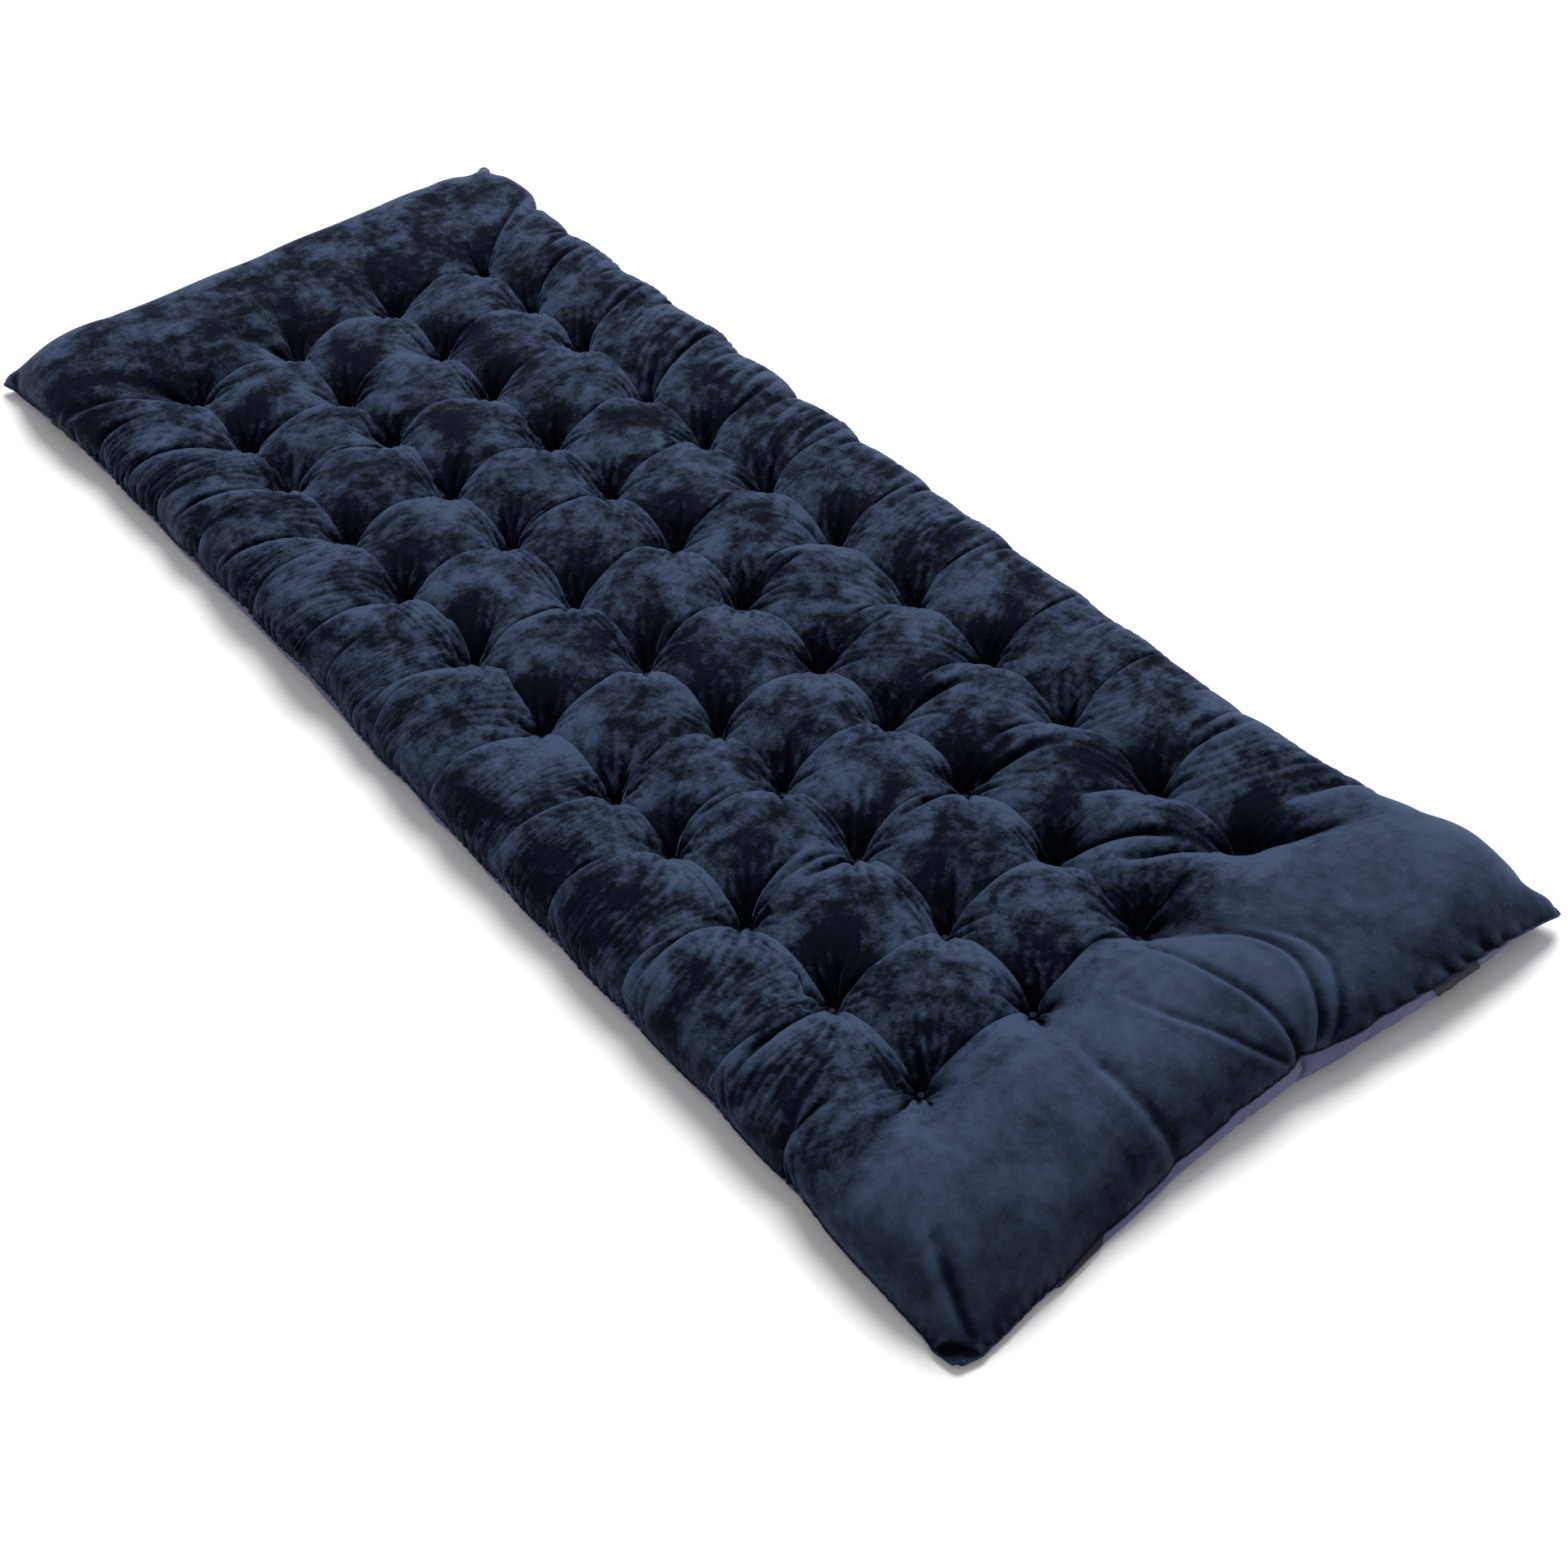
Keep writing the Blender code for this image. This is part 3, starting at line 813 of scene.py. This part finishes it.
# The velvet's crushed pattern mixes three sizes of noise: scale, detail, roughness, twist and share.
CLOUD = (12.0, 9.0, 0.64, 0.4)
SPOTS = (52.0, 7.0, 0.70, 0.2)
GRAIN = (260.0, 4.0, 0.65)
CLOUD_SHARE = 0.53
SPOTS_SHARE = 0.37
GRAIN_SHARE = 0.10
# On the smooth foot border the pattern fades towards an even tone.
EVEN_TONE = 0.585
EVEN_SHARE = 0.65
# How much painted highlight goes on crests and small ridges, with painted shade in the valleys, and how
# much painted light goes on slopes that face the back light, with painted shade on those that face the
# front.
BROAD_PAINTED_LIGHT_SHARE = 0.050
PAINTED_KEY_LIGHT_SHARE = 0.072
FINE_PAINTED_LIGHT_SHARE = 0.015
# The values of the pattern, with its painted light and shade added, over which the pile goes from mid to
# light, and from dark to mid.
LIGHT_RANGE = (0.465, 0.625)
DARK_RANGE = (0.440, 0.508)
# The other fabrics go from their low to their high colour over this range of a noise.
TONE_RANGE = (0.35, 0.65)
UNDERSIDE_LOW = (0.085, 0.091, 0.165)
UNDERSIDE_HIGH = (0.105, 0.112, 0.205)
ELASTIC_LOW = (0.014, 0.015, 0.022)
ELASTIC_HIGH = (0.032, 0.034, 0.046)
FIBRE_LOW = (0.62, 0.62, 0.59)
FIBRE_HIGH = (0.83, 0.83, 0.80)
EDGE_LOW = (0.006, 0.009, 0.020)
EDGE_HIGH = (0.018, 0.026, 0.054)
THREAD_LOW = (0.006, 0.008, 0.018)
THREAD_HIGH = (0.018, 0.024, 0.050)


class Paint:
    """A new material, with short calls for the nodes used here."""

    def __init__(self, name):
        self.material = bpy.data.materials.new(name)
        self.material.use_nodes = True
        self.nodes = self.material.node_tree.nodes
        self.link = self.material.node_tree.links.new
        self.shader = self.nodes["Principled BSDF"]

    def fill(self, node, **values):
        """Set the node's inputs to numbers or colours, or link outputs of other nodes to them."""
        for name, value in values.items():
            socket = node.inputs[name.replace("_", " ")]
            if isinstance(value, bpy.types.NodeSocket):
                self.link(value, socket)
            else:
                socket.default_value = value

    def attribute(self, name, output="Fac"):
        node = self.nodes.new("ShaderNodeAttribute")
        node.attribute_name = name
        return node.outputs[output]

    def place(self, output):
        return self.nodes.new("ShaderNodeTexCoord").outputs[output]

    def noise(self, place, scale, detail, rough, distortion=0.0):
        node = self.nodes.new("ShaderNodeTexNoise")
        self.fill(node, Vector=place, Scale=scale, Detail=detail, Roughness=rough,
                  Distortion=distortion)
        return node.outputs["Fac"]

    def bands(self, place, scale, direction="X", distortion=0.0):
        node = self.nodes.new("ShaderNodeTexWave")
        node.bands_direction = direction
        self.fill(node, Vector=place, Scale=scale, Distortion=distortion)
        return node.outputs["Fac"]

    def ranged(self, value, low, high, to_low=0.0, to_high=1.0):
        node = self.nodes.new("ShaderNodeMapRange")
        node.interpolation_type = "SMOOTHSTEP"
        self.fill(node, Value=value, From_Min=low, From_Max=high, To_Min=to_low, To_Max=to_high)
        return node.outputs["Result"]

    def calc(self, kind, a, b):
        node = self.nodes.new("ShaderNodeMath")
        node.operation = kind
        for socket, value in zip(node.inputs, (a, b)):
            if isinstance(value, bpy.types.NodeSocket):
                self.link(value, socket)
            else:
                socket.default_value = value
        return node.outputs[0]

    def mixed(self, share, a, b):
        node = self.nodes.new("ShaderNodeMix")
        node.data_type = "RGBA"
        self.link(share, node.inputs["Factor"])
        for socket, value in ((node.inputs[6], a), (node.inputs[7], b)):
            if isinstance(value, tuple):
                socket.default_value = (*value, 1)
            else:
                self.link(value, socket)
        return node.outputs[2]

    def bump(self, height, strength, distance, under=None):
        node = self.nodes.new("ShaderNodeBump")
        self.fill(node, Height=height, Strength=strength, Distance=distance)
        if under is not None:
            self.link(under, node.inputs["Normal"])
        return node.outputs["Normal"]


def velvet_material():
    """Crushed navy velvet: cloudy patches where the pile leans one way or another, with painted
    highlights on crests and on slopes that face the back light, and painted shade in valleys, on slopes
    that face the front and in the tie pits.
    """
    paint = Paint("crushed_velvet")
    place = paint.place("UV")
    cloud = paint.noise(place, *CLOUD)
    spots = paint.noise(place, *SPOTS)
    grain = paint.noise(place, *GRAIN)
    crush = paint.calc("ADD", paint.calc("MULTIPLY", cloud, CLOUD_SHARE),
                       paint.calc("MULTIPLY", spots, SPOTS_SHARE))
    crush = paint.calc("ADD", crush, paint.calc("MULTIPLY", grain, GRAIN_SHARE))
    evening = paint.calc("MULTIPLY", paint.attribute("calm"), EVEN_SHARE)
    to_even = paint.calc("SUBTRACT", EVEN_TONE, crush)
    crush = paint.calc("ADD", crush, paint.calc("MULTIPLY", evening, to_even))
    # Painted light and shade: crests, small ridges and slopes that face the back light are lightened,
    # valleys and slopes that face the front darkened.
    crush_and_painted_light = crush
    for name, share in (("relief_broad", BROAD_PAINTED_LIGHT_SHARE), ("painted_key_light", PAINTED_KEY_LIGHT_SHARE), ("relief_fine", FINE_PAINTED_LIGHT_SHARE)):
        crush_and_painted_light = paint.calc("ADD", crush_and_painted_light, paint.calc("MULTIPLY", paint.attribute(name), share))
    colour = paint.mixed(paint.ranged(crush_and_painted_light, *LIGHT_RANGE), VELVET_MID, VELVET_LIGHT)
    colour = paint.mixed(paint.ranged(crush_and_painted_light, *DARK_RANGE), VELVET_DARK, colour)
    # Painted shade: the tie pits are darkened towards the pit colour.
    colour = paint.mixed(paint.attribute("pit"), colour, PAINTED_PIT_SHADE)
    pile = paint.noise(place, 900.0, 3.0, 0.6)
    normal = paint.bump(pile, 0.25, 0.0006, under=paint.bump(crush, 0.7, 0.005))
    paint.fill(paint.shader, Base_Color=colour, Roughness=paint.ranged(crush, 0.40, 0.60, 0.80, 0.60),
               Normal=normal, Specular_IOR_Level=0.03, Specular_Tint=(*VELVET_SHEEN, 1),
               Sheen_Weight=0.30, Sheen_Roughness=0.30, Sheen_Tint=(*VELVET_SHEEN, 1))
    return paint.material


def underside_material():
    """Plain violet-grey lining with a fine even weave."""
    paint = Paint("plain_underside_weave")
    place = paint.place("UV")
    tone = paint.noise(place, 14.0, 4.0, 0.5)
    colour = paint.mixed(paint.ranged(tone, *TONE_RANGE), UNDERSIDE_LOW, UNDERSIDE_HIGH)
    weave = paint.bump(paint.bands(place, 420.0), 0.2, 0.0003)
    paint.fill(paint.shader, Base_Color=colour, Normal=weave, Roughness=0.8, Specular_IOR_Level=0.1,
               Sheen_Weight=0.04)
    return paint.material


def simple_fabric(name, low, high, scale, rough, bends=False):
    """A fine mottled fabric or thread between two colours. With bends set, the pattern follows the stored
    rest places.
    """
    paint = Paint(name)
    place = paint.attribute("rest_place", "Vector") if bends else paint.place("Object")
    tone = paint.noise(place, scale, 5.0, 0.6)
    paint.fill(paint.shader, Base_Color=paint.mixed(paint.ranged(tone, *TONE_RANGE), low, high),
               Normal=paint.bump(tone, 0.4, 0.0004), Roughness=rough, Specular_IOR_Level=0.08)
    return paint.material


def elastic_material():
    """Black woven elastic: fine courses across it. Its ribs are in the mesh."""
    paint = Paint("black_elastic")
    courses = paint.bands(paint.place("UV"), 190.0, "Y", 0.4)
    paint.fill(paint.shader, Base_Color=paint.mixed(courses, ELASTIC_LOW, ELASTIC_HIGH),
               Normal=paint.bump(courses, 0.4, 0.0004), Roughness=0.6, Specular_IOR_Level=0.1)
    return paint.material


# ---------------------------------------------------------------- stage
SENSOR = 36
CAMERA_AZIMUTH = math.radians(-33.857)
CAMERA_HEIGHT = math.radians(44.069)
CAMERA_ROLL = math.radians(-5.355)
CAMERA_TARGET = Vector((-0.0762, -0.3377, 0.03))
CAMERA_DISTANCE = 2.2727
CAMERA_LENS = 51.67
WORLD_LIGHT = 0.50
KEY_LIGHT = 1950
KEY_PLACE = (5.8, 4.5, 8.8)
KEY_SIZE = 8.0
FLOOR_REACH = 9
FLOOR_COLOUR = (0.93, 0.93, 0.93, 1)


def add_camera():
    """A camera that looks at its target from the azimuth and height, turned about its own axis."""
    camera = bpy.data.cameras.new("camera")
    camera.sensor_width = SENSOR
    camera.lens = CAMERA_LENS
    obj = add_object("camera", camera)
    back = Vector((math.sin(CAMERA_AZIMUTH) * math.cos(CAMERA_HEIGHT),
                   -math.cos(CAMERA_AZIMUTH) * math.cos(CAMERA_HEIGHT), math.sin(CAMERA_HEIGHT)))
    side = Vector((0, 0, 1)).cross(back).normalized()
    top = back.cross(side)
    right = math.cos(CAMERA_ROLL) * side + math.sin(CAMERA_ROLL) * top
    up = -math.sin(CAMERA_ROLL) * side + math.cos(CAMERA_ROLL) * top
    pose = Matrix((right, up, back)).transposed().to_4x4()
    pose.translation = CAMERA_TARGET + back * CAMERA_DISTANCE
    obj.matrix_world = pose
    bpy.context.scene.camera = obj


def add_key_light():
    """One wide soft light, aimed at the middle of the object."""
    light = bpy.data.lights.new("key", "AREA")
    light.shape = "DISK"
    light.size = KEY_SIZE
    light.energy = KEY_LIGHT
    obj = add_object("key", light)
    turn = (-Vector(KEY_PLACE)).to_track_quat("-Z", "Y").to_matrix().to_4x4()
    obj.matrix_world = Matrix.Translation(KEY_PLACE) @ turn


def add_stage():
    """A white world, the light and a pale floor."""
    world = bpy.data.worlds.new("studio")
    bpy.context.scene.world = world
    world.use_nodes = True
    background = world.node_tree.nodes["Background"]
    background.inputs["Color"].default_value = (1, 1, 1, 1)
    background.inputs["Strength"].default_value = WORLD_LIGHT
    add_key_light()
    # The default transform would grey the near-white backdrop and brown the darkest blues.
    bpy.context.scene.view_settings.view_transform = "Standard"
    mesh = bpy.data.meshes.new("floor")
    corners = [(x * FLOOR_REACH, y * FLOOR_REACH, 0) for x, y in ((-1, -1), (1, -1), (1, 1), (-1, 1))]
    mesh.from_pydata(corners, [], [(0, 1, 2, 3)])
    floor = add_object("floor", mesh)
    paint = Paint("pale_floor")
    paint.fill(paint.shader, Base_Color=FLOOR_COLOUR, Roughness=0.8)
    mesh.materials.append(paint.material)


# ---------------------------------------------------------------- pieces
def add_covers(ties):
    """The velvet top and the underside panel, and the grids of points that they are made of."""
    top, plan, rests = solve_top(ties)
    velvet = add_object("velvet_top", grid_mesh("velvet_top", top, rests))
    add_relief(velvet.data, top)
    add_zones(velvet.data, plan, ties, top)
    velvet.data.materials.append(velvet_material())
    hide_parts("top_cover_head", "top_cover_foot")
    bend_at_fold(velvet)
    under, under_rests = solve_under(ties, top)
    lining = add_object("underside_panel", grid_mesh("underside_panel", under, under_rests, turn=True))
    lining.data.materials.append(underside_material())
    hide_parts("bottom_cover_head", "bottom_cover_foot")
    bend_at_fold(lining)
    return velvet, lining, top, under


def least_near(z, reach):
    """The lowest height within reach points of each point."""
    out = z.copy()
    for _ in range(reach):
        low = out.copy()
        low[1:] = np.minimum(low[1:], out[:-1])
        low[:-1] = np.minimum(low[:-1], out[1:])
        low[:, 1:] = np.minimum(low[:, 1:], out[:, :-1])
        low[:, :-1] = np.minimum(low[:, :-1], out[:, 1:])
        out = low
    return out


# The filling's grid takes every so many points of each cover's, and leaves out a rim. Its outer rings
# are flattened to these shares, round a height a little below the middle.
FILL_STEP_TOP = 2 ** (TOP_LEVELS - 1)
FILL_STEP_UNDER = 2 ** (UNDER_LEVELS - 1)
FILL_RIM = 4
FILL_ROUNDING = (0.35, 0.8)
FILL_MIDDLE = 0.45
FILL_LEAST = 0.0004
FILL_SKIN_TOP = 0.0035
FILL_SKIN_UNDER = 0.0015


def add_wadding(top, under):
    """The filling: a closed body just inside both covers."""
    lowest = least_near(top[2], FILL_STEP_TOP)
    highest = -least_near(-under[2], FILL_STEP_UNDER)
    upper = top[:, ::FILL_STEP_TOP, ::FILL_STEP_TOP].copy()
    lower = under[:, ::FILL_STEP_UNDER, ::FILL_STEP_UNDER].copy()
    upper[2] = lowest[::FILL_STEP_TOP, ::FILL_STEP_TOP] - FILL_SKIN_TOP
    lower[2] = highest[::FILL_STEP_UNDER, ::FILL_STEP_UNDER] + FILL_SKIN_UNDER
    middle = (upper[:2] + lower[:2]) / 2
    upper[:2] = middle
    lower[:2] = middle
    keep = slice(FILL_RIM, -FILL_RIM)
    upper, lower = upper[:, keep, keep].copy(), lower[:, keep, keep].copy()
    thick = upper[2] - lower[2]
    for ring, share in enumerate(FILL_ROUNDING):
        for edge in ((ring, slice(None)), (-1 - ring, slice(None)),
                     (slice(None), ring), (slice(None), -1 - ring)):
            middle_z = lower[2][edge] + thick[edge] * FILL_MIDDLE
            upper[2][edge] = middle_z + (upper[2][edge] - middle_z) * share
            lower[2][edge] = middle_z + (lower[2][edge] - middle_z) * share
    upper[2] = np.maximum(upper[2], lower[2] + FILL_LEAST)
    mesh = face_mesh("wadding", *closed_shell(upper, lower))
    obj = add_object("wadding", mesh)
    mesh.materials.append(simple_fabric("polyester_fibre", FIBRE_LOW, FIBRE_HIGH, 90.0, 0.9, bends=True))
    store_places(mesh)
    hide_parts("wadding_head", "wadding_foot")
    bend_at_fold(obj)


def sample(points, s, t):
    """A grid's points at places between its own, where s and t run 0 to 1."""
    _, rows, columns = points.shape
    u = np.clip(s, 0, 1) * (columns - 1)
    v = np.clip(t, 0, 1) * (rows - 1)
    i = np.minimum(u.astype(int), columns - 2)
    j = np.minimum(v.astype(int), rows - 2)
    a, b = u - i, v - j
    return (points[:, j, i] * (1 - a) * (1 - b) + points[:, j, i + 1] * a * (1 - b)
            + points[:, j + 1, i] * (1 - a) * b + points[:, j + 1, i + 1] * a * b)


# The strap's mesh: ribs along it, a gap to the cloth, thinner selvedges, and the grid's size. Its
# faces stay this high above the ground.
STRAP_RIBS = 11
STRAP_RIB = 0.00018
STRAP_GAP = 0.0004
STRAP_ACROSS = 56
STRAP_ALONG = 72
STRAP_LENGTH = STRAP_OFFSET * math.sqrt(2)
SELVEDGE = 0.03
SELVEDGE_SHARE = 0.55
STRAP_INNER_FLOOR = 0.0012
STRAP_OUTER_FLOOR = 0.0001


def strap_mesh(name, under, normals, right, head):
    """One elastic corner strap: a ribbed band from the end seam to the side seam."""
    across = np.linspace(-0.5, 0.5, STRAP_ACROSS)
    slant = across * STRAP_WIDTH / math.sqrt(2)
    places = np.linspace(0, 1, STRAP_ALONG)[:, None]
    begin, finish = -slant / STRAP_OFFSET, 1 + slant / STRAP_OFFSET
    a = begin + (finish - begin) * places
    from_side = a * STRAP_OFFSET + slant
    from_end = (1 - a) * STRAP_OFFSET + slant
    s, t = from_side / WIDTH, from_end / LENGTH
    s = 1 - s if right else s
    t = 1 - t if head else t
    base = sample(under, s, t)
    out = -sample(normals, s, t)
    out /= np.maximum(np.linalg.norm(out, axis=0), TINY)
    for _ in range(12):
        out[:, 1:-1] = (out[:, :-2] + 2 * out[:, 1:-1] + out[:, 2:]) / 4
        out[:, :, 1:-1] = (out[:, :, :-2] + 2 * out[:, :, 1:-1] + out[:, :, 2:]) / 4
    rib = STRAP_RIB * np.cos(2 * np.pi * STRAP_RIBS * across)
    inside = np.clip((0.5 - np.abs(across)) / SELVEDGE, 0, 1)
    thin = SELVEDGE_SHARE + (1 - SELVEDGE_SHARE) * inside
    inner = base + out * STRAP_GAP
    outer = base + out * (STRAP_GAP + (STRAP_THICK + rib) * thin)
    inner[2] = np.maximum(inner[2], STRAP_INNER_FLOOR)
    outer[2] = np.maximum(outer[2], STRAP_OUTER_FLOOR)
    points, faces = closed_shell(outer, inner)
    if right == head:
        faces = faces[:, ::-1]
    mesh = face_mesh(name, points, faces)
    band = np.stack([np.broadcast_to(across * STRAP_WIDTH, s.shape),
                     np.broadcast_to(places * STRAP_LENGTH, s.shape)], -1)
    band = np.concatenate([band.reshape(-1, 2)] * 2)
    layer = mesh.uv_layers.new(name="cloth_metres")
    layer.data.foreach_set("uv", band[faces.ravel()].astype(np.float32).ravel())
    return mesh


def add_straps(under):
    normals = grid_normals(under)
    material = elastic_material()
    for head in (True, False):
        for right in (False, True):
            end, side = ("head" if head else "foot"), ("right" if right else "left")
            name = f"elastic_strap_{end}_{side}"
            obj = add_object(name, strap_mesh(name, under, normals, right, head))
            obj.data.materials.append(material)
            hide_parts(f"corner_strap_{end}_{side}")
            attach(obj, f"{end}_half")


# The rolled edge: a thin tube of a few sides, moved out from the seam by a share of its radius.
LIP_RADIUS = 0.0012
LIP_SIDES = 6
LIP_OUT = 0.3


def add_lip(top):
    """The turned edge where the velvet is sewn to the underside."""
    loop = np.concatenate([top[:, 0, :-1], top[:, :-1, -1], top[:, -1, :0:-1], top[:, :0:-1, 0]], 1)
    ahead = np.roll(loop, -1, 1) - np.roll(loop, 1, 1)
    ahead /= np.maximum(np.linalg.norm(ahead, axis=0), TINY)
    out = np.cross(ahead, np.array([0, 0, 1.0])[:, None], axis=0)
    out /= np.maximum(np.linalg.norm(out, axis=0), TINY)
    up = np.cross(out, ahead, axis=0)
    turns = 2 * np.pi * np.arange(LIP_SIDES) / LIP_SIDES
    rings = [loop + LIP_RADIUS * (out * (math.cos(v) + LIP_OUT) + up * math.sin(v)) for v in turns]
    points = np.stack(rings, 1).reshape(3, -1).T
    index = np.arange(len(points)).reshape(LIP_SIDES, -1)
    after, over = np.roll(index, -1, 1), np.roll(index, -1, 0)
    faces = np.stack([index, after, np.roll(after, -1, 0), over], -1).reshape(-1, 4)
    mesh = face_mesh("edge_seam", points, faces[:, ::-1])
    obj = add_object("edge_seam", mesh)
    mesh.materials.append(simple_fabric("navy_edge", EDGE_LOW, EDGE_HIGH, 160.0, 0.8, bends=True))
    store_places(mesh)
    bend_at_fold(obj)


def finish_ties():
    """The ties keep their CAD shape, and get the look of thread."""
    material = simple_fabric("navy_thread", THREAD_LOW, THREAD_HIGH, 900.0, 0.7)
    for row in range(1, ROWS + 1):
        for column in range(1, COLUMNS + 1):
            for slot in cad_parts[tie_name(row, column)].material_slots:
                slot.material = material


def main():
    ties = tie_places()
    add_camera()
    add_stage()
    velvet, lining, top, under = add_covers(ties)
    add_wadding(top, under)
    add_straps(under)
    add_lip(top)
    finish_ties()


main()
